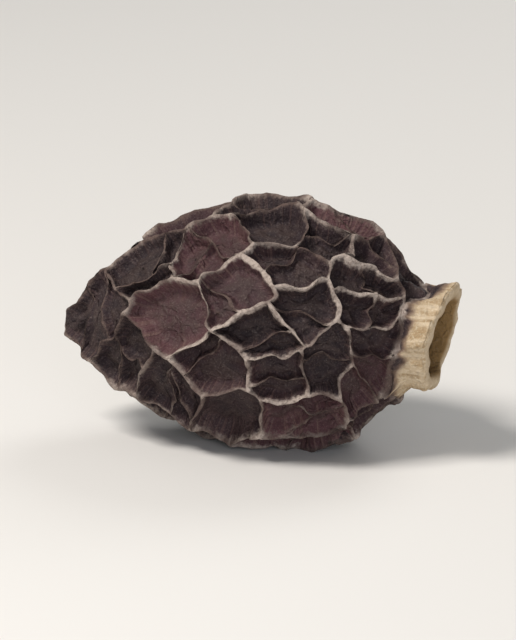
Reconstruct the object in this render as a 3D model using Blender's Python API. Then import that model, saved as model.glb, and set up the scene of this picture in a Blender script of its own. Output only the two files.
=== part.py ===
"""A dried black morel lying on its side: one grown body, hollow from the cut end of its short stem.

+X runs from the cap's tip to the cut end, +Z is up, and the mushroom rests on z = 0.
Lengths are in millimetres until a point is made. A station is measured from the tip along the axis,
and an angle around the axis: 0 on top, 90 degrees at the front (-Y), 180 underneath.
"""

import math
import random
from bisect import bisect_left

import bmesh
import bpy
from mathutils import Vector

MM = 0.001

# Outline of the cap over its ridges, and of the stem below it
CAP_LENGTH = 38.2
CAP_RADIUS = 12.0
TIP_POWER = 0.9
TIP_BLUNTNESS = 0.13
BASE_POWER = 0.66
WAIST_RADIUS = 4.8
STEM_STATIONS = (37.5, 37.9, 38.3, 38.65)
STEM_RADII = (4.9, 4.9, 5.0, 5.2)
CUT_STATION = 39.0
STEM_LOBES = ((5, 0.035, 0.6), (3, 0.05, 2.0))
RIM_ROUNDING = 0.3

# The cut leans: below the stem's top this share of the drop lies further back, coming in between two stations
CUT_SLANT = 0.2
SLANT_STATIONS = (30.0, 39.0)
STEM_TOP = 5.2

# How the cap shrivelled as it dried: (waves around, share of the radius, phase, turn in radians per mm)
SHRINK_WAVES = ((2, 0.030, 1.1, 0.0), (3, 0.022, 0.4, 0.10), (5, 0.014, 2.3, -0.07))
TIP_DROOP = 1.3
DROOP_STATION = 20.0

# Ridge net: half the crest's width and the foot of its walls, with the most of a pit that each may take
CREST_HALF_WIDTH = 0.42
CREST_MOST = 0.35
WALL_FOOT = 0.95
FOOT_MOST = 0.6
FLOOR_SHARE = 0.75
RIDGE_STEP = 1.25
WAVINESS = 0.035

# How far a ridge sags between its ends, along the cap and across it, and how much that differs
LONG_RIDGE_SAG = 0.15
CROSS_RIDGE_SAG = 0.95
SAG_SPREAD = (0.6, 1.1)

# Pits: full depth, the most of the cap's radius that it may take, the wall that it leaves to the hollow,
# and the depth of each ring as a share of it
PIT_DEPTH = 2.3
DEPTH_OF_RADIUS = 0.26
LEAST_WALL = 1.2
DEPTH_SPREAD = (0.85, 1.1)
CREST_SINK = 0.02
FOOT_SINK = 0.85
MIDDLE_SINK = 1.05

# Hollow: what is left between it and the outline, read a slip nearer each end where the outline is steep,
# its straight neck, and where it ends inside the tip
WALL_TO_OUTLINE = 3.75
TIP_SLIP = 1.0
NECK_SLIP = 1.9
NECK_RADIUS = 3.5
TIP_RADIUS = 0.9
HOLLOW_TIP = 5.0
HOLLOW_STATIONS = (38.4, 36.5, 34.5, 32.6, 30.6, 28.0, 25.0, 21.5, 18.0, 14.5, 11.5, 9.0, 7.2, 6.0, 5.4)

# Where it lies: the axis is this high, and the underside is pressed flat by what would reach below 0
AXIS_HEIGHT = 11.35
MID_STATION = 19.52
AXIS_Y = 0.17

# Pits on the side that shows, as (station, angle in degrees)
SHOWN_PITS = (
    (4.0, 72), (9.5, 38), (8.5, 104), (14.0, 73), (14.0, 115), (17.3, 36), (20.7, 60), (19.3, 100),
    (20.3, 123), (24.0, 80), (22.6, 17), (25.2, 44), (25.8, 99), (26.5, 66), (26.7, 125), (27.2, 18),
    (29.4, 95), (32.7, 38), (33.2, 60), (33.7, 82), (33.8, 103), (32.8, 121), (32.2, 15),
)
REST_PIT = (20.5, 180)

# Rows of pits round the hidden side, up to HIDDEN_TO degrees: (station, first angle, how many)
HIDDEN_TO = 370.0
HIDDEN_ROWS = ((4.5, 140, 4), (11.5, 140, 7), (19.5, 208, 6), (26.8, 142, 9), (33.3, 134, 8))
PIT_SCATTER = 1.3
TURN_SCATTER = 0.07
SEED = 7

ARC_STEPS = 400


def bulge(share):
    """How full the cap is at a share of its length, before it is scaled to its width."""
    blunt = (share * (share + TIP_BLUNTNESS)) ** (TIP_POWER / 2)
    return blunt * (1 - share) ** BASE_POWER


def cap_radius(station):
    """Radius of the outline over the ridges, widest six tenths of the way from the tip, down to the stem's waist."""
    share = min(max(station / CAP_LENGTH, 1e-4), 0.99)
    widest = TIP_POWER / (TIP_POWER + BASE_POWER)
    radius = CAP_RADIUS * bulge(share) / bulge(widest)
    return max(radius, WAIST_RADIUS) if share > widest else radius


def shrink(station, angle):
    """Share by which drying drew the round section in or out."""
    total = 1.0
    for waves, share, phase, turn in SHRINK_WAVES:
        total += share * math.cos(waves * angle + phase + turn * station)
    return total


def hollow_radius(station, angle):
    """Radius of the hollow, which follows the outline inwards of a straight neck."""
    outside = min(cap_radius(station - TIP_SLIP), cap_radius(station + NECK_SLIP))
    least = NECK_RADIUS if station > MID_STATION else TIP_RADIUS
    return max(outside * shrink(station, angle) - WALL_TO_OUTLINE, least)


def axis_point(station):
    """Middle of the section at a station. The tip hangs a little lower than the rest."""
    droop = TIP_DROOP * max(0.0, 1 - station / DROOP_STATION) ** 2
    return Vector((station - MID_STATION, AXIS_Y, AXIS_HEIGHT - droop))


def around(station, angle, radius):
    """The point at that radius from the axis, set back where the stem's end leans."""
    start, end = SLANT_STATIONS
    share = min(max((station - start) / (end - start), 0.0), 1.0)
    back = CUT_SLANT * share * share * (3 - 2 * share) * (STEM_TOP - radius * math.cos(angle))
    return axis_point(station) + Vector((-back, -radius * math.sin(angle), radius * math.cos(angle)))


def outline_point(station, angle):
    return around(station, angle, cap_radius(station) * shrink(station, angle))


def outline_normal(station, angle):
    """Outward normal of the cap's outline."""
    near = max(station, 0.5)
    along = outline_point(near + 0.1, angle) - outline_point(near - 0.1, angle)
    across = outline_point(near, angle + 0.02) - outline_point(near, angle - 0.02)
    normal = across.cross(along).normalized()
    outward = outline_point(near, angle) - axis_point(near)
    return normal if normal.dot(outward) > 0 else -normal


def arc_table():
    """Length of the outline from the tip to each of many stations."""
    stations = [CAP_LENGTH * i / ARC_STEPS for i in range(ARC_STEPS)]
    arcs = [0.0]
    for low, high in zip(stations, stations[1:]):
        arcs.append(arcs[-1] + math.hypot(high - low, cap_radius(high) - cap_radius(low)))
    return stations, arcs


STATIONS, ARCS = arc_table()


def blend_between(value, keys, values):
    """Value read from a table of rising keys."""
    i = min(max(bisect_left(keys, value), 1), len(keys) - 1)
    share = (value - keys[i - 1]) / (keys[i] - keys[i - 1])
    return values[i - 1] + min(max(share, 0.0), 1.0) * (values[i] - values[i - 1])


def direction_of(station, angle):
    """Direction on a unit ball that stands for a point of the cap: -X is the tip, +X the stem."""
    polar = math.pi * blend_between(station, STATIONS, ARCS) / ARCS[-1]
    return Vector((-math.cos(polar), -math.sin(polar) * math.sin(angle), math.sin(polar) * math.cos(angle)))


def place_of(direction):
    """Station and angle that a direction of that ball stands for."""
    polar = math.acos(min(max(-direction.x, -1.0), 1.0))
    station = blend_between(polar / math.pi * ARCS[-1], ARCS, STATIONS)
    return station, math.atan2(-direction.y, direction.z)


def pit_directions():
    """Directions of the pits' middles. The stem stands in the last one, and the one before is pressed flat."""
    scatter = random.Random(SEED)
    pits = [(station, math.radians(angle)) for station, angle in SHOWN_PITS]
    for station, first, count in HIDDEN_ROWS:
        for i in range(count):
            angle = math.radians(first + (HIDDEN_TO - first) * (i + 0.5) / count)
            shift = scatter.uniform(-PIT_SCATTER, PIT_SCATTER)
            pits.append((station + shift, angle + scatter.uniform(-TURN_SCATTER, TURN_SCATTER)))
    pits.append((REST_PIT[0], math.radians(REST_PIT[1])))
    return [direction_of(*pit) for pit in pits] + [Vector((1.0, 0.0, 0.0))]


def waved(direction):
    """The same direction moved a little, so that straight ridges wander."""
    x, y, z = direction
    wander = Vector((math.sin(9 * y + 4 * z + 1.0), math.sin(8 * z + 5 * x + 2.0), math.sin(9 * x + 4 * y + 3.0)))
    return (direction + WAVINESS * wander).normalized()


class Morel:
    """The ridge net and the solid grown from it."""

    def __init__(self):
        self.mesh = bmesh.new()
        self.scatter = random.Random(SEED + 1)
        self.corners = {}
        self.ridges = {}
        self.normals = {}

    def crest_vertex(self, direction, sag):
        """A point on a ridge's crest, kept above the surface that the cap lies on."""
        place = place_of(waved(direction))
        normal = outline_normal(*place)
        point = outline_point(*place) - normal * sag
        point.z = max(point.z, 0.0)
        vertex = self.mesh.verts.new(point * MM)
        self.normals[vertex] = normal
        return vertex

    def corner(self, face):
        """Where three ridges meet: one corner for each triangle of neighbouring pits."""
        if face not in self.corners:
            self.corners[face] = self.crest_vertex(face.normal, 0.0)
        return self.corners[face]

    def ridge(self, edge, first, last):
        """The points between two corners, with the crest lowest half way and lower where it runs across."""
        if edge not in self.ridges:
            start, end = self.corner(first), self.corner(last)
            run = (end.co - start.co) / MM
            count = max(2, round(run.length / RIDGE_STEP))
            crossing = 1 - abs(run.x) / max(run.length, 0.1)
            sag = LONG_RIDGE_SAG + CROSS_RIDGE_SAG * crossing * self.scatter.uniform(*SAG_SPREAD)
            points = []
            for i in range(1, count):
                share = i / count
                direction = first.normal.lerp(last.normal, share).normalized()
                points.append(self.crest_vertex(direction, 4 * share * (1 - share) * sag))
            self.ridges[edge] = (first, points)
        start_face, points = self.ridges[edge]
        return points if start_face is first else points[::-1]

    def pit_border(self, site):
        """The closed ring of crest vertices round one pit."""
        border = []
        loop = site.link_loops[0]
        for _ in range(len(site.link_loops)):
            following = loop.link_loop_prev.link_loop_radial_next
            edge = loop.link_loop_prev.edge
            border.append(self.corner(loop.face))
            border += self.ridge(edge, loop.face, following.face)
            loop = following
        return border

    def ring(self, border, shares, depth, centre, centre_normal):
        """A ring inside a pit: each crest point moved its share of the way to the middle, and sunk."""
        made = []
        for vertex, share in zip(border, shares):
            point = vertex.co.lerp(centre, share)
            normal = self.normals[vertex].lerp(centre_normal, share).normalized()
            made.append(self.mesh.verts.new(point - normal * depth * MM))
        return made

    def sew(self, outer, inner):
        """Faces between two rings with the same number of points."""
        for i, vertex in enumerate(outer):
            after = (i + 1) % len(outer)
            self.mesh.faces.new((vertex, outer[after], inner[after], inner[i]))

    def pit(self, border, middle):
        """A pit: the flat crest, the wall down from it and a dished floor."""
        station, angle = place_of(waved(middle))
        centre = outline_point(station, angle) * MM
        normal = outline_normal(station, angle)
        crest_shares, foot_shares = [], []
        for i, vertex in enumerate(border):
            along = border[(i + 1) % len(border)].co - border[i - 1].co
            reach = (vertex.co - centre).cross(along.normalized()).length / MM
            crest_shares.append(min(CREST_HALF_WIDTH / reach, CREST_MOST))
            foot_shares.append(min(WALL_FOOT / reach, FOOT_MOST))
        room = cap_radius(station) * shrink(station, angle) - hollow_radius(station, angle) - LEAST_WALL
        depth = min(PIT_DEPTH, cap_radius(station) * DEPTH_OF_RADIUS, room) * self.scatter.uniform(*DEPTH_SPREAD)
        crest = self.ring(border, crest_shares, CREST_SINK * depth, centre, normal)
        foot = self.ring(border, foot_shares, FOOT_SINK * depth, centre, normal)
        floor = self.ring(border, [FLOOR_SHARE] * len(border), depth, centre, normal)
        self.sew(border, crest)
        self.sew(crest, foot)
        self.sew(foot, floor)
        low = self.mesh.verts.new(centre - normal * MIDDLE_SINK * depth * MM)
        for i, vertex in enumerate(floor):
            self.mesh.faces.new((vertex, floor[(i + 1) % len(floor)], low))

    def stem_and_hollow(self, border):
        """The stem below the cap, its cut rim, and the hollow up into the cap."""
        angles = [math.atan2(-(v.co.y / MM - AXIS_Y), v.co.z / MM - AXIS_HEIGHT) for v in border]
        last = border
        for station, radius in zip(STEM_STATIONS, STEM_RADII):
            last = self.tube_ring(last, angles, station, radius, STEM_LOBES)
        last = self.tube_ring(last, angles, CUT_STATION, STEM_RADII[-1] - RIM_ROUNDING, STEM_LOBES)
        last = self.tube_ring(last, angles, CUT_STATION, NECK_RADIUS + RIM_ROUNDING, ())
        for station in HOLLOW_STATIONS:
            last = self.hollow_ring(last, angles, station)
        end = self.mesh.verts.new(axis_point(HOLLOW_TIP) * MM)
        for i, vertex in enumerate(last):
            self.mesh.faces.new((vertex, last[(i + 1) % len(last)], end))

    def tube_ring(self, last, angles, station, radius, lobes):
        made = []
        for angle in angles:
            lobed = 1 + sum(share * math.cos(waves * angle + phase) for waves, share, phase in lobes)
            made.append(self.mesh.verts.new(around(station, angle, radius * lobed) * MM))
        self.sew(last, made)
        return made

    def hollow_ring(self, last, angles, station):
        made = []
        for angle in angles:
            made.append(self.mesh.verts.new(around(station, angle, hollow_radius(station, angle)) * MM))
        self.sew(last, made)
        return made

    def grow(self):
        """Joins the pits, the flat spot underneath, the stem and the hollow in one closed mesh."""
        hull = bmesh.new()
        for direction in pit_directions():
            hull.verts.new(direction)
        bmesh.ops.convex_hull(hull, input=hull.verts)
        bmesh.ops.recalc_face_normals(hull, faces=hull.faces)
        hull.normal_update()
        hull.verts.ensure_lookup_table()
        *pits, rest, stem = list(hull.verts)
        for site in pits:
            self.pit(self.pit_border(site), site.co)
        flat = self.pit_border(rest)
        for vertex in flat:
            vertex.co.z = 0.0
        self.mesh.faces.new(flat)
        self.stem_and_hollow(self.pit_border(stem))
        hull.free()
        bmesh.ops.recalc_face_normals(self.mesh, faces=self.mesh.faces)
        return self.mesh


def mushroom_material():
    """Dark brown dried flesh."""
    material = bpy.data.materials.new("dried_morel_flesh")
    material.use_nodes = True
    shader = material.node_tree.nodes["Principled BSDF"]
    shader.inputs["Base Color"].default_value = (0.105, 0.070, 0.062, 1.0)
    shader.inputs["Roughness"].default_value = 0.8
    shader.inputs["Metallic"].default_value = 0.0
    return material


def main():
    for old in list(bpy.data.objects):
        bpy.data.objects.remove(old)
    mesh = bpy.data.meshes.new("morel")
    grown = Morel().grow()
    grown.to_mesh(mesh)
    grown.free()
    mesh.materials.append(mushroom_material())
    morel = bpy.data.objects.new("morel", mesh)
    bpy.context.scene.collection.objects.link(morel)


main()
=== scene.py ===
import math
import random
from bisect import bisect_left
from collections import namedtuple
from functools import partial

import bmesh
import bpy
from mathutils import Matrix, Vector


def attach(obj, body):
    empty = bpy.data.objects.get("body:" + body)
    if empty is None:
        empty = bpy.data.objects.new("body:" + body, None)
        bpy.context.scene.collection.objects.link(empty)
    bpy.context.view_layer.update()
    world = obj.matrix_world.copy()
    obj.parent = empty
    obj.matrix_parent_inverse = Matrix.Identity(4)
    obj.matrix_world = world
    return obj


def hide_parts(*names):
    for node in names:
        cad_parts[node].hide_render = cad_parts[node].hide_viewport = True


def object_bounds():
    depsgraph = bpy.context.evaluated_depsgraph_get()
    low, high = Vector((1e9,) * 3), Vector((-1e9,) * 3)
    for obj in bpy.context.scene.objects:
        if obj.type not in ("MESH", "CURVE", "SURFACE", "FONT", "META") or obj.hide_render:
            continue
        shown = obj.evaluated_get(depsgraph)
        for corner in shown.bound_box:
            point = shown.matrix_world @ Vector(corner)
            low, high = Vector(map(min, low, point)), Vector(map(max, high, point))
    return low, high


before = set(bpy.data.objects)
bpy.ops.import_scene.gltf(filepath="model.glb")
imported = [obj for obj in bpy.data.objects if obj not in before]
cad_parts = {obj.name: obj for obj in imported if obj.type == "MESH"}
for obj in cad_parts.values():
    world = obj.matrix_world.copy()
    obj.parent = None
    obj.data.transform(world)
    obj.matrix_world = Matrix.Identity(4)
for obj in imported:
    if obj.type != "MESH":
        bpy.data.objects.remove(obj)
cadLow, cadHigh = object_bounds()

# One dried black morel on its side. Lengths are millimetres of the mushroom, which unit turns to metres.
# A station is measured from the cap's tip along the axis.
# An angle goes round the axis: 0 on top, 90 degrees in front.

capShape = {
    "length": 38.88,            # tip to cut end, which the frame's box sets in metres
    "cutStation": 39.0,
    "midStation": 19.52,        # the one above the frame's origin
    "capLength": 38.2,
    "capRadius": 12.0,
    "tipPower": 0.9,
    "tipBluntness": 0.13,
    "basePower": 0.66,
    "waistRadius": 4.8,         # the least that the cap narrows to, where the stem leaves it
    "shrinkWaves": ((2, 0.030, 1.1, 0.0), (3, 0.022, 0.4, 0.10), (5, 0.014, 2.3, -0.07)),
    "droop": 1.3,               # how far the tip hangs below the axis
    "droopEnd": 20.0,
    "axisHeight": 11.35,
    "axisAside": 0.17,
    # the stem's end leans: below its top this share of the drop lies further back
    "cutSlant": 0.2,
    "slantStations": (30.0, 39.0),
    "stemTop": 5.2,
}

unit = (cadHigh.x - cadLow.x) / capShape["length"]
midStation = capShape["midStation"]


def smooth(share):
    share = min(max(share, 0.0), 1.0)
    return share * share * (3 - 2 * share)


def bulge(share):
    blunt = (share * (share + capShape["tipBluntness"])) ** (capShape["tipPower"] / 2)
    return blunt * (1 - share) ** capShape["basePower"]


def capRadius(station):
    share = min(max(station / capShape["capLength"], 1e-4), 0.99)
    widest = capShape["tipPower"] / (capShape["tipPower"] + capShape["basePower"])
    radius = capShape["capRadius"] * bulge(share) / bulge(widest)
    return max(radius, capShape["waistRadius"]) if share > widest else radius


def shrink(station, angle):
    total = 1.0
    for waves, share, phase, turn in capShape["shrinkWaves"]:
        total += share * math.cos(waves * angle + phase + turn * station)
    return total


def axisPoint(station):
    droop = capShape["droop"] * max(0.0, 1 - station / capShape["droopEnd"]) ** 2
    return Vector((station - midStation, capShape["axisAside"], capShape["axisHeight"] - droop))


def setBack(station, height):
    start, end = capShape["slantStations"]
    return capShape["cutSlant"] * smooth((station - start) / (end - start)) * (capShape["stemTop"] - height)


def aroundAxis(station, angle, radius):
    height = radius * math.cos(angle)
    return axisPoint(station) + Vector((-setBack(station, height), -radius * math.sin(angle), height))


def outlinePoint(station, angle):
    return aroundAxis(station, angle, capRadius(station) * shrink(station, angle))


def outlineNormal(station, angle):
    near = max(station, 0.5)
    along = outlinePoint(near + 0.1, angle) - outlinePoint(near - 0.1, angle)
    across = outlinePoint(near, angle + 0.02) - outlinePoint(near, angle - 0.02)
    normal = across.cross(along).normalized()
    return normal if normal.dot(outlinePoint(near, angle) - axisPoint(near)) > 0 else -normal


def arcTable(steps=400):
    stations = [capShape["capLength"] * i / steps for i in range(steps)]
    arcs = [0.0]
    for low, high in zip(stations, stations[1:]):
        arcs.append(arcs[-1] + math.hypot(high - low, capRadius(high) - capRadius(low)))
    return stations, arcs


stationTable, arcLengths = arcTable()


def readTable(value, keys, values):
    i = min(max(bisect_left(keys, value), 1), len(keys) - 1)
    share = (value - keys[i - 1]) / (keys[i] - keys[i - 1])
    return values[i - 1] + min(max(share, 0.0), 1.0) * (values[i] - values[i - 1])


netShape = {
    # pits on the side that shows, as (station, angle in degrees, how red its lining is)
    "shownPits": (
        (4.0, 72, 0.15), (9.5, 38, 0.0), (8.5, 104, 0.1), (14.0, 73, 1.0), (14.0, 115, 0.2),
        (17.3, 36, 0.9), (20.7, 60, 0.6), (19.3, 100, 0.35), (20.3, 123, 0.3), (24.0, 80, 0.05),
        (22.6, 17, 0.1), (25.2, 44, 0.25), (25.8, 99, 0.3), (26.5, 66, 0.1), (26.7, 125, 0.95),
        (27.2, 18, 0.1), (29.4, 95, 0.1), (32.7, 38, 0.15), (33.2, 60, 0.25), (33.7, 82, 0.3),
        (33.8, 103, 0.8), (32.8, 121, 0.7), (32.2, 15, 0.2),
    ),
    # rows of pits round the hidden side, up to hiddenTo degrees: (station, first angle, how many)
    "hiddenRows": ((4.5, 140, 4), (11.5, 140, 7), (19.5, 208, 6), (26.8, 142, 9), (33.3, 134, 8)),
    "hiddenTo": 370.0,
    "restPit": (20.5, 180, 0.2),    # the one that the mushroom lies on
    "redPower": 1.5,            # a higher one leaves fewer red pits on the hidden side
    "stationScatter": 1.3,
    "turnScatter": 0.07,
    "waviness": 0.035,
    "ripple": 0.012,            # the same at about a quarter of the length
    # waves of x, y and z, each as two counts along the other two directions and a phase
    "longWaves": ((9, 4, 1.0), (8, 5, 2.0), (9, 4, 3.0)),
    "shortWaves": ((31, 17, 0.0), (35, 12, 1.0), (28, 21, 2.0)),
    "step": 0.295,              # between two points of a ridge
    "longSag": 0.15,            # how far a ridge sags between its ends, along the cap and across it
    "crossSag": 0.95,
    "sagSpread": (0.6, 1.1),
    "sagReach": 4.0,            # a shorter ridge sags less
    "sagPower": 1.7,            # a higher one keeps more of a ridge's ends up
    "stemEdgeSag": 0.4,         # of that sag for a ridge with both its ends at the stem
    "stemDrop": 0.55,           # how far the ridges have come down where they reach the stem
    "cornerReach": 1.1,
    "cornerPale": 0.75,
    "seed": 7,
    # neighbouring pits with the palest ridges between them, and how pale the others are
    "palest": (
        (15, 17), (17, 22), (11, 13), (17, 18), (11, 18), (13, 17), (13, 18), (13, 19), (9, 13),
        (3, 7), (6, 9), (6, 7), (12, 14), (5, 11), (6, 11),
    ),
    "paleSpread": (0.0, 0.6),
    "paleStep": 0.618,          # spreads them evenly over the pairs of pits
}


# The cap is unrolled on a ball, with the tip at -X and the stem at +X, and the pits are spaced out there.
def directionOf(station, angle):
    polar = math.pi * readTable(station, stationTable, arcLengths) / arcLengths[-1]
    return Vector((-math.cos(polar), -math.sin(polar) * math.sin(angle), math.sin(polar) * math.cos(angle)))


def placeOf(direction):
    polar = math.acos(min(max(-direction.x, -1.0), 1.0))
    station = readTable(polar / math.pi * arcLengths[-1], arcLengths, stationTable)
    return station, math.atan2(-direction.y, direction.z)


def waved(direction):
    for amount, waves in (
            (netShape["waviness"], netShape["longWaves"]), (netShape["ripple"], netShape["shortWaves"])):
        x, y, z = direction
        wander = [math.sin(first * a + second * b + phase)
                  for (first, second, phase), (a, b) in zip(waves, ((y, z), (z, x), (x, y)))]
        direction = (direction + amount * Vector(wander)).normalized()
    return direction


def pitSites():
    draw = random.Random(netShape["seed"])
    redness = random.Random(netShape["seed"] + 5)
    sites = [(station, math.radians(angle), red) for station, angle, red in netShape["shownPits"]]
    for station, first, count in netShape["hiddenRows"]:
        for i in range(count):
            angle = math.radians(first + (netShape["hiddenTo"] - first) * (i + 0.5) / count)
            shift = draw.uniform(-netShape["stationScatter"], netShape["stationScatter"])
            turn = draw.uniform(-netShape["turnScatter"], netShape["turnScatter"])
            sites.append((station + shift, angle + turn, redness.random() ** netShape["redPower"]))
    station, angle, red = netShape["restPit"]
    sites.append((station, math.radians(angle), red))
    return sites


# A point of a ridge: its place, the outline's normal, how near a corner it is, its drop and how pale it is.
RidgePoint = namedtuple("RidgePoint", "place normal near sag pale")
stemSite = Vector((1.0, 0.0, 0.0))      # where the stem stands on the ball


def pointAt(station, angle, near, sag, pale):
    normal = outlineNormal(station, angle)
    place = outlinePoint(station, angle) - normal * sag
    place.z = max(place.z, 0.0)
    return RidgePoint(place, normal, near, sag, pale)


def cornerPoint(face):
    sag = netShape["stemDrop"] if any(vertex.co == stemSite for vertex in face.verts) else 0.0
    return pointAt(*placeOf(waved(face.normal)), 1.0, sag, netShape["cornerPale"])


def ridgePoints(edge, first, last, ridges, draw):
    if edge not in ridges:
        start, end = cornerPoint(first), cornerPoint(last)
        run = end.place - start.place
        crossing = 1 - abs(run.x) / max(run.length, 0.1)
        sag = netShape["longSag"] + netShape["crossSag"] * crossing * draw.uniform(*netShape["sagSpread"])
        sag *= min(run.length / netShape["sagReach"], 1.0)
        if start.sag and end.sag:
            sag *= netShape["stemEdgeSag"]
        pits = tuple(sorted(vertex.index for vertex in edge.verts))
        dull, dusty = netShape["paleSpread"]
        ownPale = dull + (dusty - dull) * (sum(pits) * netShape["paleStep"] % 1.0)
        if pits in netShape["palest"]:
            ownPale = 1.0
        count = max(3, round(run.length / netShape["step"]))
        points = []
        for i in range(1, count):
            share = i / count
            near = max(0.0, 1 - min(share, 1 - share) * run.length / netShape["cornerReach"]) ** 2
            direction = first.normal.lerp(last.normal, share).normalized()
            pale = ownPale + (netShape["cornerPale"] - ownPale) * near
            low = start.sag + (end.sag - start.sag) * share
            low += sag * math.sin(math.pi * share) ** netShape["sagPower"]
            points.append(pointAt(*placeOf(waved(direction)), near, low, pale))
        ridges[edge] = (first, points)
    start, points = ridges[edge]
    return points if start is first else points[::-1]


def pitBorder(site, ridges, draw):
    border = []
    loop = site.link_loops[0]
    for _ in range(len(site.link_loops)):
        following = loop.link_loop_prev.link_loop_radial_next
        border.append(cornerPoint(loop.face))
        border += ridgePoints(loop.link_loop_prev.edge, loop.face, following.face, ridges, draw)
        loop = following
    return border


# Low ridges that part a large pit in two.
partingShape = {
    "leastBorder": 17.0,        # a pit with a shorter border stays whole
    "twiceBorder": 25.0,        # a pit with a longer one is parted twice
    "chance": 0.8,
    "tries": 14,
    "span": (0.33, 0.67),       # of the border that lies to one side
    "lengthSpread": (0.8, 1.25),
    "low": (0.35, 0.7),         # how far below the pit's own ridges, as a share of its depth
    "depthSpread": (0.85, 1.05),
    "alongFrom": (17.0, 27.0),  # between these stations they turn to run along the cap
    "alongWish": 2.5,
    "sliver": 0.25,             # of the pit: a smaller part than this is avoided
    "sliverCost": 4.0,
    "wander": 0.45,             # to either side of the straight way
    "waves": (0.7, 1.6),
    "shoulder": 1.3,            # it comes down over this from the ridges that it meets
    "paleFade": 0.65,           # and their dust ends over this
    "pale": 0.12,
    "seed": 21,
}


def areaIn(border):
    total = Vector()
    for point, following in zip(border, border[1:] + border[:1]):
        total += point.place.cross(following.place)
    return total.length / 2


# Two borders that share a low wavy ridge across the pit, where the pit is narrow and no sliver is left.
def partedBorder(border, depth, draw):
    count = len(border)
    first, last = partingShape["alongFrom"]
    wish = partingShape["alongWish"] * smooth((middleOf(border)[0] - first) / (last - first))
    tries = []
    for _ in range(partingShape["tries"]):
        i = draw.randrange(count)
        j = (i + round(count * draw.uniform(*partingShape["span"]))) % count
        run = border[j].place - border[i].place
        crossing = 1 - abs(run.x) / max(run.length, 0.1)
        i, j = min(i, j), max(i, j)
        smaller = min(areaIn(border[i:j + 1]), areaIn(border[j:] + border[:i + 1]))
        thin = 1 - min(smaller / (partingShape["sliver"] * areaIn(border)), 1.0)
        score = run.length * draw.uniform(*partingShape["lengthSpread"])
        score *= (1 + wish * crossing) * (1 + partingShape["sliverCost"] * thin)
        tries.append((score, i, j))
    _, i, j = min(tries)
    start, end = border[i], border[j]
    run = end.place - start.place
    aside = start.normal.cross(run).normalized()
    low = depth * draw.uniform(*partingShape["low"])
    phase, waves = draw.uniform(0, math.tau), draw.uniform(*partingShape["waves"])
    steps = max(4, round(run.length / netShape["step"]))
    across = []
    for k in range(1, steps):
        share = k / steps
        edge = min(share, 1 - share) * run.length
        sag = start.sag + (end.sag - start.sag) * share
        sag += (low - sag) * smooth(edge / partingShape["shoulder"])
        sway = partingShape["wander"] * math.sin(phase + math.tau * waves * share)
        sway *= math.sin(math.pi * share)
        level = start.place + start.normal * start.sag
        level = level.lerp(end.place + end.normal * end.sag, share) + aside * sway
        nearer = start if share < 0.5 else end
        pale = nearer.pale + (partingShape["pale"] - nearer.pale) * smooth(edge / partingShape["paleFade"])
        across.append(pointAt(*placeOfPoint(level), 0.0, sag, pale))
    return border[i:j + 1] + across[::-1], border[j:] + border[:i + 1] + across


# The slant moves a station back by its height, so the station is found in a few rounds.
def placeOfPoint(point):
    station = point.x + midStation
    for _ in range(6):
        offset = point - axisPoint(station)
        station = point.x + midStation + setBack(station, offset.z)
    return station, math.atan2(-offset.y, offset.z)


def middleOf(border):
    total = Vector()
    for point in border:
        total += point.place + point.normal * point.sag
    return placeOfPoint(total / len(border))


pitShape = {
    "rings": 12,
    "depth": 2.3,
    "depthOfRadius": 0.32,
    "depthSpread": (0.85, 1.1),
    "restDepth": 0.5,
    "leastWall": 1.2,           # between the middle of a pit and the hollow
    "leastFootWall": 0.9,       # the same at the foot of a pit's walls
    "leastDepth": 0.35,
    "fullReach": 2.2,           # a pit narrower than twice this has thinner walls
    # least distance from a ridge's line to the middle: a share of its point's own, and millimetres
    "leastReach": (0.45, 0.5),
    "beside": 3,                # points to each side that give a ridge's line
    "footAt": 0.4,              # the foot of a wall, as a share of the way to the middle
    "breadth": (0.5, 0.5),      # crest of the dullest ridge, and what the palest one adds to it
    # each curve runs from the crest, 0, to the middle of the pit, 1
    "inset": (
        (0, 0), (0.167, 0.24), (0.333, 0.37), (0.417, 0.44), (0.5, 0.54), (0.583, 0.72),
        (0.7, 0.84), (1, 0.84),
    ),
    "spread": ((0, 0), (0.583, 0.0), (0.667, 0.08), (0.75, 0.27), (1, 0.93)),
    "sink": (
        (0, 0), (0.083, 0.0), (0.167, 0.035), (0.25, 0.15), (0.333, 0.35), (0.417, 0.58),
        (0.5, 0.77), (0.6, 0.9), (1, 1.0),
    ),
    # bands between crest and middle, as where each begins and where it is full
    "bands": {"offCrest": (0.12, 0.55), "wall": (0.1, 0.4), "floor": (0.5, 0.8)},
    "leastSink": 0.12,          # so that no pit comes out above its ridges
    "weldDistance": 0.002,
}


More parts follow.
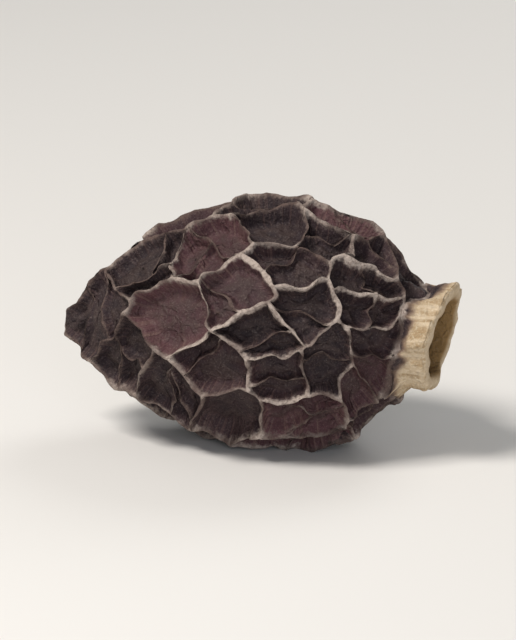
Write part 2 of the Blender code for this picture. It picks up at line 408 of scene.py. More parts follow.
# The closed border of every pit, with what the pit needs, and the border that the stem stands in.
def makeBorders():
    sites = pitSites()
    hull = bmesh.new()
    for station, angle, _ in sites:
        hull.verts.new(directionOf(station, angle))
    hull.verts.new(stemSite)
    bmesh.ops.convex_hull(hull, input=hull.verts)
    bmesh.ops.recalc_face_normals(hull, faces=hull.faces)
    hull.normal_update()
    hull.verts.ensure_lookup_table()
    hull.verts.index_update()
    draw = random.Random(netShape["seed"] + 1)
    part = random.Random(partingShape["seed"])
    ridges, pits = {}, []
    for site, (_, _, red) in zip(hull.verts, sites):
        station, angle = placeOf(waved(site.co))
        border = pitBorder(site, ridges, draw)
        room = roomOver(station, angle, pitShape["leastWall"])
        depth = min(pitShape["depth"], capRadius(station) * pitShape["depthOfRadius"], room)
        if site.index == len(sites) - 1:
            pits.append((border, (station, angle), depth * pitShape["restDepth"], red))
            continue
        depth *= draw.uniform(*pitShape["depthSpread"])
        length = len(border) * netShape["step"]
        if length < partingShape["leastBorder"] or part.random() > partingShape["chance"]:
            pits.append((border, (station, angle), depth, red))
            continue
        parts = list(partedBorder(border, depth, part))
        if length > partingShape["twiceBorder"]:
            parts.sort(key=len)
            parts += partedBorder(parts.pop(), depth, part)
        for smaller in parts:
            ownDepth = depth * part.uniform(*partingShape["depthSpread"])
            pits.append((smaller, middleOf(smaller), ownDepth, red))
    stemBorder = pitBorder(hull.verts[len(sites)], ridges, draw)
    hull.free()
    return pits, stemBorder


# One many-sided face for each pit and the rings of the stem, with what each point needs to know.
def netMesh(pits, stemBorder):
    places, faces = [], []
    told = {name: [] for name in (
        "toMiddle", "rimNormal", "floorNormal", "reach", "footDepth", "middleDepth", "sag",
        "red", "pale", "stem", "inside", "inPit")}
    leastShare, leastReach = pitShape["leastReach"]
    beside = pitShape["beside"]
    for border, (station, angle), depth, red in pits:
        count = len(border)
        middle, floorNormal = outlinePoint(station, angle), outlineNormal(station, angle)
        faces.append([len(places) + i for i in range(count)])
        for i, point in enumerate(border):
            along = border[(i + beside) % count].place - border[i - beside].place
            toMiddle = middle - point.place
            straight = toMiddle.cross(along.normalized()).length
            reach = max(straight, leastShare * toMiddle.length, leastReach)
            foot = placeOfPoint(point.place + pitShape["footAt"] * toMiddle)
            footDepth = min(depth, max(roomOver(*foot, pitShape["leastFootWall"]), pitShape["leastDepth"]))
            places.append(point.place)
            facts = (toMiddle, point.normal, floorNormal, reach, footDepth, depth, point.sag,
                     red, point.pale, 0.0, 0.0, 0.0)
            for name, fact in zip(told, facts):
                told[name].append(fact)
    pitFaces = len(faces)
    for place, outward, pale, stem, inside, inPit, face in stemRings(stemBorder, len(places)):
        places.append(place)
        facts = (Vector(), outward, outward, 1.0, 0.0, 0.0, 0.0, 0.0, pale, stem, inside, inPit)
        for name, fact in zip(told, facts):
            told[name].append(fact)
        faces += face
    mesh = bpy.data.meshes.new("ridgeNet")
    mesh.from_pydata([place * unit for place in places], [], faces)
    isPit = mesh.attributes.new("isPit", "BOOLEAN", "FACE")
    isPit.data.foreach_set("value", [i < pitFaces for i in range(len(faces))])
    for name, facts in told.items():
        isVector = isinstance(facts[0], Vector)
        attribute = mesh.attributes.new(name, "FLOAT_VECTOR" if isVector else "FLOAT", "POINT")
        scale = unit if name in ("toMiddle", "reach", "footDepth", "middleDepth", "sag") else 1.0
        if isVector:
            attribute.data.foreach_set("vector", [c * scale for fact in facts for c in fact])
        else:
            attribute.data.foreach_set("value", [fact * scale for fact in facts])
    return mesh


stemShape = {
    "stations": (37.5, 37.9, 38.3, 38.65, 39.0),
    "radii": (4.9, 4.9, 5.0, 5.2, 5.1),
    "lobes": ((5, 0.035, 0.6), (3, 0.05, 2.0)),
    "ribHeight": 0.3,           # where the cap's ridges run out onto the stem
    # where the cap's dark skin starts to fade, along those ribs and between them, and how its edge waves
    "capSkin": (-0.4, 0.5),
    "skinWave": (7, 0.4, 2.0),
    "skinFade": 1.9,
    # by what share of the way to the rim the furrows are deep and the stem has its own outline
    "furrowsBy": 0.5,
    "outlineBy": 0.625,
    "betweenRibs": 0.5,         # how far down a pit the cap's skin between the ribs looks, and by what share
    "betweenBy": 0.2,
    "furrows": ((13, 0.13, 0.3), (17, 0.07, 1.9), (7, 0.13, 4.0)),
    "furrowDrift": ((2, 0.22, 1.0), (3, 0.10, 2.6), (5, 0.03, 0.4)),
    "neckRadius": 3.5,
    "mouthLobes": ((2, 0.045, 0.9), (3, 0.04, 2.4), (7, 0.022, 0.3)),
    "wallToOutline": 3.75,
    "tipSlip": 1.0,
    "neckSlip": 1.9,
    "tipRadius": 0.9,
    "hollowTip": 5.2,
    "outerRings": 24,
    "rimRings": 9,
    "hollowRings": 26,
    "mouthCrowding": 1.4,       # a higher one sets more of those rings near the mouth
    "rimRound": 0.45,
    "cutWaves": ((2, 0.14, 0.5), (5, 0.10, 2.2), (9, 0.07, 0.9)),
}


def waveSum(waves, angle):
    return sum(share * math.cos(count * angle + phase) for count, share, phase in waves)


def hollowRadius(station, angle):
    outside = min(capRadius(station - stemShape["tipSlip"]), capRadius(station + stemShape["neckSlip"]))
    least = stemShape["tipRadius"]
    if station > midStation:
        least = stemShape["neckRadius"] * (1 + waveSum(stemShape["mouthLobes"], angle))
    return max(outside * shrink(station, angle) - stemShape["wallToOutline"], least)


# How deep a pit can go there and leave that much wall over the hollow.
def roomOver(station, angle, wall):
    return capRadius(station) * shrink(station, angle) - hollowRadius(station, angle) - wall


# The stem from the ridge it stands in, its cut rim, and the hollow back into the cap.
def stemRings(border, firstIndex):
    count = len(border)
    cut = capShape["cutStation"]
    onRib, offRib = stemShape["capSkin"]
    skinWaves, skinShare, skinPhase = stemShape["skinWave"]
    columns = []
    for point in border:
        station, angle = placeOfPoint(point.place)
        offset = point.place - axisPoint(station)
        startRadius = math.hypot(offset.y, offset.z)
        drifted = angle + waveSum(stemShape["furrowDrift"], angle)
        wavy = 1 - skinShare + skinShare * math.sin(skinWaves * drifted + skinPhase)
        skin = station + onRib + (offRib - onRib) * (1 - point.near) * wavy
        lobed = 1 + waveSum(stemShape["lobes"], angle)
        end = cut - sum(wave[1] for wave in stemShape["cutWaves"]) + waveSum(stemShape["cutWaves"], angle)
        column = [(point.place, point.pale, 0.0, 0.0, 0.0)]
        for k in range(1, stemShape["outerRings"] + 1):
            share = k / stemShape["outerRings"]
            here = station + (end - stemShape["rimRound"] - station) * share
            radius = readTable(here, stemShape["stations"], stemShape["radii"]) * lobed
            radius += waveSum(stemShape["furrows"], drifted) * smooth(share / stemShape["furrowsBy"])
            radius = startRadius + (radius - startRadius) * smooth(share / stemShape["outlineBy"])
            radius += stemShape["ribHeight"] * smooth(point.near ** 0.5) * (1 - share) ** 2
            stem = smooth((here - skin) / stemShape["skinFade"])
            between = stemShape["betweenRibs"] * (1 - point.near) * smooth(share / stemShape["betweenBy"])
            column.append((aroundAxis(here, angle, radius), point.pale, stem, 0.0, between))
        outer, inner = radius, hollowRadius(end, angle)
        for k in range(1, stemShape["rimRings"]):
            turn = math.pi * k / stemShape["rimRings"]
            here = end - stemShape["rimRound"] * (1 - math.sin(turn) ** 0.5)
            radius = (outer + inner) / 2 + (outer - inner) / 2 * math.cos(turn)
            column.append((aroundAxis(here, angle, radius), 0.0, 1.0, k / stemShape["rimRings"], 0.0))
        start = end - stemShape["rimRound"]
        for k in range(stemShape["hollowRings"]):
            share = (k / (stemShape["hollowRings"] - 1)) ** stemShape["mouthCrowding"]
            here = start + (stemShape["hollowTip"] - start) * share
            column.append((aroundAxis(here, angle, hollowRadius(here, angle)), 0.0, 1.0, 1.0, 0.0))
        columns.append((column, Vector((0.0, -math.sin(angle), math.cos(angle)))))
    rings = len(columns[0][0])
    for ring in range(rings):
        for i, (column, outward) in enumerate(columns):
            place, pale, stem, inside, inPit = column[ring]
            here = firstIndex + ring * count + i
            after = firstIndex + ring * count + (i + 1) % count
            face = []
            if ring < rings - 1:
                face = [(here, after, after + count, here + count)]
            elif i == 0:
                face = [[firstIndex + ring * count + j for j in range(count)]]
            yield place, outward, pale, stem, inside, inPit, face


# Adds a node, sets what it is given, and links its inputs. A node given for an input means its first output.
def addNode(tree, kind, inputs=None, **settings):
    node = tree.nodes.new(kind)
    for name, value in settings.items():
        setattr(node, name, value)
    for socket, value in (inputs or {}).items():
        if isinstance(value, bpy.types.Node):
            value = value.outputs[0]
        if isinstance(value, bpy.types.NodeSocket):
            tree.links.new(value, node.inputs[socket])
        else:
            node.inputs[socket].default_value = value
    return node


# Relief of the flesh in millimetres. Each value is the tree's input of the same name.
fleshRelief = {
    "Crest Sway": 0.42,         # how far the thin ridges lean to either side
    "Sway Length": 3.0,
    "Crest Notch": 0.34,
    "Notch Length": 1.1,
    "Fold Height": 0.30,        # low folds across the floors of the pits
    "Fold Spacing": 2.4,
    "Fold Width": 0.22,         # as a share of the spacing
    "Fold Wander": 2.0,
    "Dent Depth": 0.22,         # shallow dents in the stem
    "Dent Length": 2.6,
    "Streak Depth": 0.16,       # streaks down the walls
    "Streak Width": 0.42,
    "Wrinkle Depth": 0.17,
    "Wrinkle Length": 0.9,
}
reliefSeed = 3


# Sinks a pit in every pit face, welds the crests and puts the flesh's relief on the whole.
def pitTree(material):
    tree = bpy.data.node_groups.new("sinkPits", "GeometryNodeTree")
    add = partial(addNode, tree)
    wanted = {"Geometry": "Geometry", "Pit Rings": "Int", "Full Reach": "Float"}
    wanted.update({name: "Float" for name in fleshRelief})
    wanted.update({"Seed": "Int", "Lowest": "Vector", "Highest": "Vector"})
    for name, kind in wanted.items():
        tree.interface.new_socket(name, in_out="INPUT", socket_type="NodeSocket" + kind)
    tree.interface.new_socket("Geometry", in_out="OUTPUT", socket_type="NodeSocketGeometry")
    asked = add("NodeGroupInput").outputs

    # what the mesh was told about each of its points and faces
    told = {}
    for kind, names in (
            ("BOOLEAN", ("isPit",)),
            ("FLOAT", ("reach", "footDepth", "middleDepth", "sag", "pale", "stem", "inPit")),
            ("FLOAT_VECTOR", ("toMiddle", "rimNormal", "floorNormal", "rimPlace"))):
        for name in names:
            told[name] = add("GeometryNodeInputNamedAttribute", {"Name": name}, data_type=kind)

    # where each face's border was is kept for the rings below it, and each round of the loop adds one ring
    here = add("GeometryNodeInputPosition")
    kept = add("GeometryNodeStoreNamedAttribute", {
        "Geometry": asked["Geometry"], "Name": "rimPlace", "Value": here}, data_type="FLOAT_VECTOR")
    starts = add("GeometryNodeRepeatInput")
    ends = add("GeometryNodeRepeatOutput")
    starts.pair_with_output(ends)
    ends.repeat_items.new("BOOLEAN", "Top")
    ends.repeat_items.new("FLOAT", "Ring")
    tree.links.new(asked["Pit Rings"], starts.inputs["Iterations"])
    tree.links.new(kept.outputs[0], starts.inputs["Geometry"])
    tree.links.new(told["isPit"].outputs[0], starts.inputs["Top"])
    ring = add("ShaderNodeMath", {0: starts.outputs["Ring"], 1: 1.0}, operation="ADD")
    share = add("ShaderNodeMath", {0: ring, 1: asked["Pit Rings"]}, operation="DIVIDE")
    curves = {}
    for name in ("inset", "spread", "sink"):
        curves[name] = add("ShaderNodeFloatCurve", {"Value": share})
        curve = curves[name].mapping.curves[0]
        while len(curve.points) < len(pitShape[name]):
            curve.points.new(0.5, 0.5)
        for point, place in zip(curve.points, pitShape[name]):
            point.location = place
            point.handle_type = "AUTO_CLAMPED"
        curves[name].mapping.update()

    # inwards: over the crest and down its wall in millimetres, then on to the middle
    leastBreadth, paleBreadth = pitShape["breadth"]
    breadth = add("ShaderNodeMath", {
        0: told["pale"], 1: paleBreadth, 2: leastBreadth}, operation="MULTIPLY_ADD")
    fullness = add("ShaderNodeMath", {0: told["reach"], 1: asked["Full Reach"]}, operation="DIVIDE")
    fullness = add("ShaderNodeMath", {0: fullness, 1: 1.0}, operation="MINIMUM")
    breadth = add("ShaderNodeMath", {0: breadth, 1: fullness}, operation="MULTIPLY")
    inset = add("ShaderNodeMath", {0: curves["inset"], 1: unit}, operation="MULTIPLY")
    inset = add("ShaderNodeMath", {0: inset, 1: breadth}, operation="MULTIPLY")
    inset = add("ShaderNodeMath", {0: inset, 1: told["reach"]}, operation="DIVIDE")
    beyond = add("ShaderNodeMath", {0: 1.0, 1: inset}, operation="SUBTRACT")
    inward = add("ShaderNodeMath", {0: beyond, 1: curves["spread"], 2: inset}, operation="MULTIPLY_ADD")
    outward = add("ShaderNodeMath", {0: 1.0, 1: inward}, operation="SUBTRACT")

    # down: to the depth at the foot of the wall and on to the middle's, less what the ridge already sags
    deeper = add("ShaderNodeMath", {0: told["middleDepth"], 1: told["footDepth"]}, operation="SUBTRACT")
    bowl = add("ShaderNodeMath", {0: inward, 1: 2.0}, operation="POWER")
    depth = add("ShaderNodeMath", {0: deeper, 1: bowl, 2: told["footDepth"]}, operation="MULTIPLY_ADD")
    already = add("ShaderNodeMath", {0: told["sag"], 1: outward}, operation="MULTIPLY")
    depth = add("ShaderNodeMath", {0: depth, 1: already}, operation="SUBTRACT")
    depth = add("ShaderNodeMath", {0: depth, 1: pitShape["leastSink"] * unit}, operation="MAXIMUM")
    depth = add("ShaderNodeMath", {0: depth, 1: curves["sink"]}, operation="MULTIPLY")
    rimPart = add("ShaderNodeVectorMath", {0: told["rimNormal"], "Scale": outward}, operation="SCALE")
    floorPart = add("ShaderNodeVectorMath", {0: told["floorNormal"], "Scale": inward}, operation="SCALE")
    up = add("ShaderNodeVectorMath", {0: rimPart, 1: floorPart}, operation="ADD")
    up = add("ShaderNodeVectorMath", {0: up}, operation="NORMALIZE")
    down = add("ShaderNodeVectorMath", {0: up, "Scale": depth}, operation="SCALE")
    across = add("ShaderNodeVectorMath", {0: told["toMiddle"], "Scale": inward}, operation="SCALE")
    sunk = add("ShaderNodeVectorMath", {0: told["rimPlace"], 1: across}, operation="ADD")
    sunk = add("ShaderNodeVectorMath", {0: sunk, 1: down}, operation="SUBTRACT")

    extruded = add("GeometryNodeExtrudeMesh", {
        "Mesh": starts.outputs["Geometry"], "Selection": starts.outputs["Top"],
        "Offset Scale": 0.0, "Individual": True}, mode="FACES")
    placed = add("GeometryNodeSetPosition", {
        "Geometry": extruded.outputs["Mesh"], "Selection": extruded.outputs["Top"], "Position": sunk})
    counted = add("GeometryNodeStoreNamedAttribute", {
        "Geometry": placed, "Selection": extruded.outputs["Top"], "Name": "inPit", "Value": share},
        data_type="FLOAT")
    tree.links.new(counted.outputs[0], ends.inputs["Geometry"])
    tree.links.new(extruded.outputs["Top"], ends.inputs["Top"])
    tree.links.new(ring.outputs[0], ends.inputs["Ring"])
    welded = add("GeometryNodeMergeByDistance", {
        "Geometry": ends.outputs["Geometry"], "Distance": pitShape["weldDistance"] * unit})

    # crest is 1 on top of a ridge and 0 from the foot of its wall on, and floor is the other way round
    bands = {}
    for name, (low, high) in pitShape["bands"].items():
        bands[name] = add("ShaderNodeMapRange", {
            "Value": told["inPit"], "From Min": low, "From Max": high}, interpolation_type="SMOOTHSTEP")
    floor = bands["floor"]
    onCap = add("ShaderNodeMath", {0: 1.0, 1: told["stem"]}, operation="SUBTRACT")
    crest = add("ShaderNodeMath", {0: 1.0, 1: bands["offCrest"]}, operation="SUBTRACT")
    crest = add("ShaderNodeMath", {0: crest, 1: onCap}, operation="MULTIPLY")
    wall = add("ShaderNodeMath", {0: 1.0, 1: floor}, operation="SUBTRACT")
    wall = add("ShaderNodeMath", {0: bands["wall"], 1: wall}, operation="MULTIPLY")
    wall = add("ShaderNodeMath", {0: wall, 1: onCap}, operation="MULTIPLY")

    # the thin ridges lean to and fro, and a noise seldom goes further than a quarter from its middle
    perLength = add("ShaderNodeMath", {0: 1.0 / unit, 1: asked["Sway Length"]}, operation="DIVIDE")
    swayed = add("ShaderNodeTexNoise", {
        "Vector": here, "W": asked["Seed"], "Scale": perLength, "Detail": 1.0}, noise_dimensions="4D")
    swayed = add("ShaderNodeVectorMath", {
        0: swayed.outputs["Color"], 1: (0.5, 0.5, 0.5)}, operation="SUBTRACT")
    lean = add("ShaderNodeMath", {0: asked["Crest Sway"], 1: 4.0 * unit}, operation="MULTIPLY")
    lean = add("ShaderNodeMath", {0: crest, 1: lean}, operation="MULTIPLY")
    sway = add("ShaderNodeVectorMath", {0: swayed, "Scale": lean}, operation="SCALE")

    # folds run along the borders of large cells
    strayed = add("ShaderNodeMath", {0: asked["Fold Wander"], 1: unit}, operation="MULTIPLY")
    strayed = add("ShaderNodeVectorMath", {0: swayed, "Scale": strayed}, operation="SCALE")
    strayed = add("ShaderNodeVectorMath", {0: here, 1: strayed}, operation="ADD")
    perLength = add("ShaderNodeMath", {0: 1.0 / unit, 1: asked["Fold Spacing"]}, operation="DIVIDE")
    cells = add("ShaderNodeTexVoronoi", {
        "Vector": strayed, "W": asked["Seed"], "Scale": perLength},
        voronoi_dimensions="4D", feature="DISTANCE_TO_EDGE")
    fold = add("ShaderNodeMapRange", {
        "Value": cells.outputs["Distance"], "From Min": 0.0, "From Max": asked["Fold Width"],
        "To Min": 1.0, "To Max": 0.0}, interpolation_type="SMOOTHSTEP")
    fold = add("ShaderNodeMath", {0: fold, 1: floor}, operation="MULTIPLY")
    fold = add("ShaderNodeMath", {0: fold, 1: asked["Fold Height"]}, operation="MULTIPLY")

    raised = fold
    for length, height, at, detail, level, band, gain in (
            # inputs for its length and height, where the noise is read, its detail and zero,
            # what part of the flesh has it, and how many times it is taken
            ("Notch Length", "Crest Notch", here, 2.0, 0.75, crest, 1.0),
            ("Streak Width", "Streak Depth", told["rimPlace"], 1.0, 0.5, wall, 2.0),
            ("Dent Length", "Dent Depth", here, 1.0, 0.5, told["stem"], 2.0),
            ("Wrinkle Length", "Wrinkle Depth", here, 3.0, 0.5, 1.0, 2.0)):
        perLength = add("ShaderNodeMath", {0: 1.0 / unit, 1: asked[length]}, operation="DIVIDE")
        wave = add("ShaderNodeTexNoise", {
            "Vector": at, "W": asked["Seed"], "Scale": perLength, "Detail": detail}, noise_dimensions="4D")
        wave = add("ShaderNodeMath", {0: wave, 1: level}, operation="SUBTRACT")
        wave = add("ShaderNodeMath", {0: wave, 1: band}, operation="MULTIPLY")
        most = add("ShaderNodeMath", {0: asked[height], 1: gain}, operation="MULTIPLY")
        raised = add("ShaderNodeMath", {0: wave, 1: most, 2: raised}, operation="MULTIPLY_ADD")
    raised = add("ShaderNodeMath", {0: raised, 1: unit}, operation="MULTIPLY")
    lifted = add("ShaderNodeVectorMath", {
        0: add("GeometryNodeInputNormal"), "Scale": raised}, operation="SCALE")
    moved = add("ShaderNodeVectorMath", {0: sway, 1: lifted}, operation="ADD")
    moved = add("ShaderNodeVectorMath", {0: here, 1: moved}, operation="ADD")
    moved = add("ShaderNodeVectorMath", {0: moved, 1: asked["Lowest"]}, operation="MAXIMUM")
    moved = add("ShaderNodeVectorMath", {0: moved, 1: asked["Highest"]}, operation="MINIMUM")
    result = add("GeometryNodeSetPosition", {"Geometry": welded, "Position": moved})
    for name, fact in (("crest", crest), ("fold", fold)):
        result = add("GeometryNodeStoreNamedAttribute", {
            "Geometry": result, "Name": name, "Value": fact}, data_type="FLOAT")
    result = add("GeometryNodeSetShadeSmooth", {"Geometry": result})
    result = add("GeometryNodeRealizeInstances", {"Geometry": result})
    result = add("GeometryNodeSetMaterial", {"Geometry": result, "Material": material})
    add("NodeGroupOutput", {"Geometry": result})
    return tree


# From sRGB hex to the linear values that a shader takes.
def toLinear(colour):
    channels = [int(colour[i:i + 2], 16) / 255 for i in (1, 3, 5)]
    return tuple(c / 12.92 if c <= 0.04045 else ((c + 0.055) / 1.055) ** 2.4 for c in channels) + (1.0,)


fleshLook = {
    "colours": {
        "pitDark": "#2c2124",
        "pitRed": "#573a3d",
        # painted shade, laid over the lining towards the floor of each pit
        "pitPaintedShade": "#1d1517",
        "pitStreak": "#735a53",
        "foldPale": "#54443f",
        "ridgeBrown": "#5b4b45",
        "ridgePale": "#b0a297",
        "stemCream": "#c9b598",
        "stemPale": "#d9cbb0",
        "stemTan": "#a48b69",
        "stemBrown": "#7b6555",
        "hollowOchre": "#8a6d44",
    },
    # each noise, as the millimetres it takes to change and its detail
    "noises": {
        "veinDrift": (0.9, 2.0),
        "veinPatches": (2.5, 1.0),
        "redPatches": (2.2, 3.0),
        "streaks": (0.30, 2.0),
        "paintedShadeEdge": (1.2, 3.0),
        "dustPatches": (1.7, 3.0),
        "dustAreas": (4.5, 3.0),
        # the next noise moves the edge of the painted shade in the pits
        "ridgeSpecks": (0.3, 4.0),
        "ridgeEdge": (0.42, 3.0),
        "stemFurrows": (0.8, 4.0),
        "stemSpecks": (0.22, 3.0),
        "stemEdge": (0.9, 3.0),
        "grains": (0.16, 2.0),      # mealy, and coarser than the real 0.05 mm so that they show
        "grainHeight": (0.16, 3.0),
        "skinHeight": (0.5, 4.0),
    },
    "noiseRoughness": 0.55,
    "furrowStretch": (0.22, 1.0, 1.0),      # the stem's furrows run along it
    "crease": 1.1,              # between the fine veins of the shrivelled skin
    "creaseDrift": 0.9,
    "creaseShare": 0.3,
    "streakShares": (0.25, 0.5),    # in a plain pit, and what a red one adds
    "paleReach": 0.12,          # dust reaches further down the sides of a pale ridge
    "bumps": {"grains": 0.06, "streaks": 0.16, "skin": 0.2, "creases": 0.07},       # millimetres
    "pitRoughness": 0.66,
    "ridgeRoughness": 0.85,
    "refraction": 1.45,
    "specular": 0.3,
}


# Dried morel flesh: thin, leathery and matt, darkest in the pits with painted shade towards each pit's
# floor, dusty pale along the ridges, with a mealy cream stem.
def driedFlesh():
    material = bpy.data.materials.new("driedMorelFlesh")
    material.use_nodes = True
    tree = material.node_tree
    tree.nodes.clear()
    add = partial(addNode, tree)
    look = fleshLook
    perMm = 1.0 / unit
    place = add("ShaderNodeTexCoord").outputs["Object"]
    told = {}
    for name in ("crest", "stem", "inside", "pale", "red", "fold", "inPit"):
        told[name] = add("ShaderNodeAttribute", attribute_name=name).outputs["Fac"]
    rim = add("ShaderNodeAttribute", attribute_name="rimPlace").outputs["Vector"]
    along = add("ShaderNodeMapping", {"Vector": place, "Scale": look["furrowStretch"]})
    noise = {}
    for name, (length, detail) in look["noises"].items():
        at = {"streaks": rim, "stemFurrows": along}.get(name, place)
        noise[name] = add("ShaderNodeTexNoise", {
            "Vector": at, "Scale": perMm / length, "Detail": detail, "Roughness": look["noiseRoughness"]})

    # creases of shrivelled skin, as a net of fine raised veins
    drift = add("ShaderNodeVectorMath", {
        0: noise["veinDrift"].outputs["Color"], "Scale": look["creaseDrift"] * unit}, operation="SCALE")
    drift = add("ShaderNodeVectorMath", {0: place, 1: drift})
    veins = add("ShaderNodeTexVoronoi", {
        "Vector": drift, "Scale": perMm / look["crease"]}, feature="DISTANCE_TO_EDGE")

    # parts with a ragged edge: a name, the fact it follows, the noise that moves it up or down, and how far
    for name, fact, jitter, amount in (
            ("redPart", "red", "redPatches", 0.625),
            # painted shade that grows the further a point lies down into its pit
            ("paintedShadePart", "inPit", "paintedShadeEdge", 0.5),
            ("dustyPart", "pale", "dustPatches", 1.3),
            ("dustyPart", "dustyPart", "dustAreas", 1.6),
            ("ridgePart", "crest", "ridgeEdge", 0.9),
            ("stemPart", "stem", "stemEdge", 0.7)):
        centred = add("ShaderNodeMath", {0: noise[jitter], 1: 0.5}, operation="SUBTRACT")
        told[name] = add("ShaderNodeMath", {0: centred, 1: amount, 2: told[fact]}, operation="MULTIPLY_ADD")
    told["ridgePart"] = add("ShaderNodeMath", {
        0: told["pale"], 1: look["paleReach"], 2: told["ridgePart"]}, operation="MULTIPLY_ADD")

    # shares: a name, what it follows, where it begins and where it is full, and how much that is
    shares = {}
    for name, value, begins, full, most in (
            ("wallTop", told["inPit"], 0.1, 0.3, 1.0),
            ("wallFoot", told["inPit"], 0.85, 0.5, 1.0),
            ("veins", veins.outputs["Distance"], 0.2, 0.0, 1.0),
            ("veinPatches", noise["veinPatches"], 0.35, 0.6, 1.0),
            ("red", told["redPart"], 0.0, 1.0, 1.0),
            ("streaks", noise["streaks"], 0.48, 0.7, 1.0),
            ("folds", told["fold"], 0.05, 0.3, 0.5),
            # painted shade: how much the floor of a pit is darkened
            ("deep", told["paintedShadePart"], 0.3, 0.9, 0.45),
            ("dust", told["dustyPart"], 0.1, 1.05, 1.0),
            ("ridgeSpecks", noise["ridgeSpecks"], 0.42, 0.66, 0.5),
            ("ridge", told["ridgePart"], 0.55, 1.0, 1.0),
            ("furrows", noise["stemFurrows"], 0.36, 0.62, 1.0),
            ("stemSpecks", noise["stemSpecks"], 0.45, 0.75, 0.6),
            ("lip", told["inside"], 0.1, 0.4, 0.6),
            ("hollow", told["inside"], 0.5, 0.95, 1.0),
            ("stemSeam", told["stemPart"], 0.05, 0.6, 1.0),
            ("stem", told["stemPart"], 0.35, 0.95, 1.0),
            ("grains", noise["grains"], 0.5, 0.8, 0.16)):
        shares[name] = add("ShaderNodeMapRange", {
            "Value": value, "From Min": begins, "From Max": full, "To Max": most},
            interpolation_type="SMOOTHSTEP")
    wall = add("ShaderNodeMath", {0: shares["wallTop"], 1: shares["wallFoot"]}, operation="MULTIPLY")
    creases = add("ShaderNodeMath", {0: shares["veins"], 1: shares["veinPatches"]}, operation="MULTIPLY")
    shares["creases"] = add("ShaderNodeMath", {0: creases, 1: look["creaseShare"]}, operation="MULTIPLY")
    plain, redder = look["streakShares"]
    streaks = add("ShaderNodeMath", {0: shares["streaks"], 1: wall}, operation="MULTIPLY")
    stronger = add("ShaderNodeMath", {0: shares["red"], 1: redder, 2: plain}, operation="MULTIPLY_ADD")
    shares["streaks"] = add("ShaderNodeMath", {0: streaks, 1: stronger}, operation="MULTIPLY")

    # coats of colour: a name, what lies under, the share of it that is covered, and what covers it
    coats = {name: toLinear(colour) for name, colour in look["colours"].items()}
    for name, under, share, over in (
            # the lining of a pit, redder in some, paler in streaks down its walls, and darkened below by
            # painted shade
            ("lining", "pitDark", "red", "pitRed"),
            ("lining", "lining", "streaks", "pitStreak"),
            ("lining", "lining", "folds", "foldPale"),
            ("lining", "lining", "creases", "foldPale"),
            ("lining", "lining", "deep", "pitPaintedShade"),
            # ridges, dusty pale in places and brown between
            ("crest", "ridgeBrown", "dust", "ridgePale"),
            ("crest", "crest", "ridgeSpecks", "ridgeBrown"),
            # the stem, cream with tan furrows along it and ochre inside
            ("skin", "stemTan", "furrows", "stemCream"),
            ("skin", "skin", "stemSpecks", "stemPale"),
            ("skin", "skin", "lip", "stemCream"),
            ("skin", "skin", "hollow", "hollowOchre"),
            # all of it, with mealy grains scattered over
            ("flesh", "lining", "ridge", "crest"),
            ("flesh", "flesh", "stemSeam", "stemBrown"),
            ("flesh", "flesh", "stem", "skin"),
            ("flesh", "flesh", "grains", "ridgePale")):
        coat = add("ShaderNodeMix", {0: shares[share], 6: coats[under], 7: coats[over]}, data_type="RGBA")
        coats[name] = coat.outputs[2]

    rubbed = add("ShaderNodeMath", {0: told["crest"], 1: told["stem"]}, operation="MAXIMUM")
    roughness = add("ShaderNodeMath", {
        0: rubbed, 1: look["ridgeRoughness"] - look["pitRoughness"], 2: look["pitRoughness"]},
        operation="MULTIPLY_ADD")
    streaked = add("ShaderNodeMath", {0: noise["streaks"], 1: wall}, operation="MULTIPLY")
    heights = {
        "grains": noise["grainHeight"], "streaks": streaked, "skin": noise["skinHeight"], "creases": creases}
    height = 0.0
    for name, most in look["bumps"].items():
        height = add("ShaderNodeMath", {
            0: heights[name], 1: most * unit, 2: height}, operation="MULTIPLY_ADD")
    bump = add("ShaderNodeBump", {"Height": height, "Strength": 1.0, "Distance": 1.0})
    shader = add("ShaderNodeBsdfPrincipled", {
        "Base Color": coats["flesh"], "Roughness": roughness, "Normal": bump,
        "IOR": look["refraction"], "Specular IOR Level": look["specular"]})
    add("ShaderNodeOutputMaterial", {"Surface": shader})
    return material


def makeMorel():
    pits, stemBorder = makeBorders()
    print("net of", len(pits), "pits and the ridge that the stem stands in")
    tree = pitTree(driedFlesh())
    source = bpy.data.objects.new("ridgeNet", netMesh(pits, stemBorder))
    bpy.context.scene.collection.objects.link(source)
    modifier = source.modifiers.new("sinkPits", "NODES")
    modifier.node_group = tree
    wanted = {
        "Pit Rings": pitShape["rings"], "Full Reach": pitShape["fullReach"] * unit,
        "Seed": reliefSeed, "Lowest": cadLow, "Highest": cadHigh, **fleshRelief}
    for item in tree.interface.items_tree:
        if item.in_out == "INPUT" and item.name in wanted:
            modifier[item.identifier] = wanted[item.name]
    graph = bpy.context.evaluated_depsgraph_get()
    mesh = bpy.data.meshes.new_from_object(source.evaluated_get(graph))
    bpy.data.objects.remove(source)
    mesh.name = "driedMorel"
    piece = bpy.data.objects.new("driedMorel", mesh)
    bpy.context.scene.collection.objects.link(piece)
    turn = bmesh.new()
    turn.from_mesh(mesh)
    bmesh.ops.recalc_face_normals(turn, faces=turn.faces)
    bmesh.ops.triangulate(turn, faces=[face for face in turn.faces if len(face.verts) > 4])
    openEdges = sum(not edge.is_manifold for edge in turn.edges)
    turn.to_mesh(mesh)
    turn.free()
    triangles = sum(len(face.vertices) - 2 for face in mesh.polygons)
    print("morel of", triangles, "triangles, with", openEdges, "open edges")
    return piece


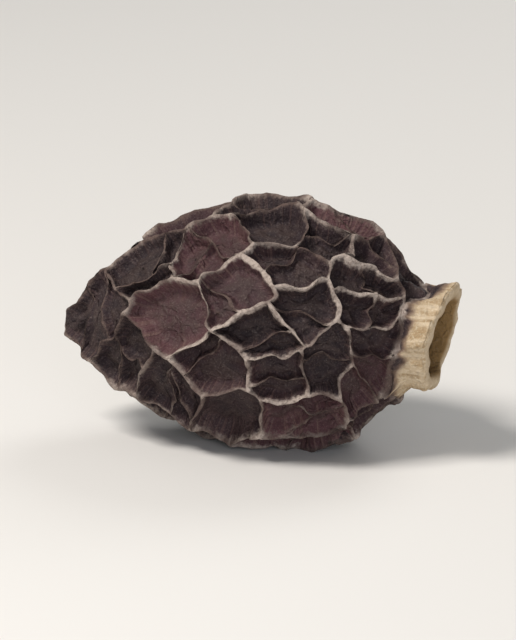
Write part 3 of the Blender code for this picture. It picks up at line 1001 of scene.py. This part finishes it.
stageLook = {
    "azimuth": 18.0,
    "elevation": 15.0,
    "distance": 0.6,
    "widthShare": 0.80,         # of the picture that the mushroom takes
    "sensor": 36.0,
    "frameSize": (516, 640),
    "floor": "#e1dfdb",
    "floorRoughness": 0.9,
    "floorReach": 1.5,
    "floorDrop": 0.00002,       # keeps the floor off the mushroom's flat spot
    "room": "#f4f4f2",
    "roomStrength": 0.24,
    "lights": (
        # name, place, size, watts, colour
        ("keyLight", (-0.16, -0.18, 0.36), 0.14, 1.7, "#fffaf5"),
        ("fillLight", (0.20, -0.44, 0.11), 0.30, 0.95, "#f0f4ff"),
        ("backLight", (0.10, 0.35, 0.28), 0.25, 0.6, "#ffffff"),
    ),
}


def makeCamera():
    middle = (cadLow + cadHigh) / 2
    azimuth, elevation = math.radians(stageLook["azimuth"]), math.radians(stageLook["elevation"])
    level = math.cos(elevation)
    back = Vector((math.sin(azimuth) * level, -math.cos(azimuth) * level, math.sin(elevation)))
    camera = bpy.data.objects.new("camera", bpy.data.cameras.new("camera"))
    bpy.context.scene.collection.objects.link(camera)
    camera.location = middle + back * stageLook["distance"]
    camera.rotation_euler = (-back).to_track_quat("-Z", "Y").to_euler()
    wide, high = stageLook["frameSize"]
    seen = (cadHigh.x - cadLow.x) / stageLook["widthShare"]
    camera.data.sensor_width = stageLook["sensor"]
    camera.data.lens = stageLook["sensor"] * stageLook["distance"] / (seen * high / wide)
    camera.data.clip_start = 0.01
    bpy.context.scene.camera = camera


def makeStage():
    floorMesh = bpy.data.meshes.new("floor")
    reach = stageLook["floorReach"]
    corners = [(-reach, -reach, 0), (reach, -reach, 0), (reach, reach, 0), (-reach, reach, 0)]
    floorMesh.from_pydata(corners, [], [(0, 1, 2, 3)])
    floor = bpy.data.objects.new("floor", floorMesh)
    bpy.context.scene.collection.objects.link(floor)
    floor.location.z = -stageLook["floorDrop"]
    paper = bpy.data.materials.new("mattPaper")
    paper.use_nodes = True
    shader = paper.node_tree.nodes["Principled BSDF"]
    shader.inputs["Base Color"].default_value = toLinear(stageLook["floor"])
    shader.inputs["Roughness"].default_value = stageLook["floorRoughness"]
    floorMesh.materials.append(paper)
    middle = (cadLow + cadHigh) / 2
    for name, place, size, watts, colour in stageLook["lights"]:
        light = bpy.data.lights.new(name, "AREA")
        light.size = size
        light.energy = watts
        light.color = toLinear(colour)[:3]
        lamp = bpy.data.objects.new(name, light)
        lamp.location = place
        lamp.rotation_euler = (middle - Vector(place)).to_track_quat("-Z", "Y").to_euler()
        bpy.context.scene.collection.objects.link(lamp)
    world = bpy.data.worlds.new("softRoom")
    world.use_nodes = True
    background = world.node_tree.nodes["Background"]
    background.inputs["Color"].default_value = toLinear(stageLook["room"])
    background.inputs["Strength"].default_value = stageLook["roomStrength"]
    bpy.context.scene.world = world
    bpy.context.scene.view_settings.view_transform = "Standard"


makeCamera()
makeStage()
print("camera, floor and lights")
morel = makeMorel()
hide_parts("morel")
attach(morel, "root")
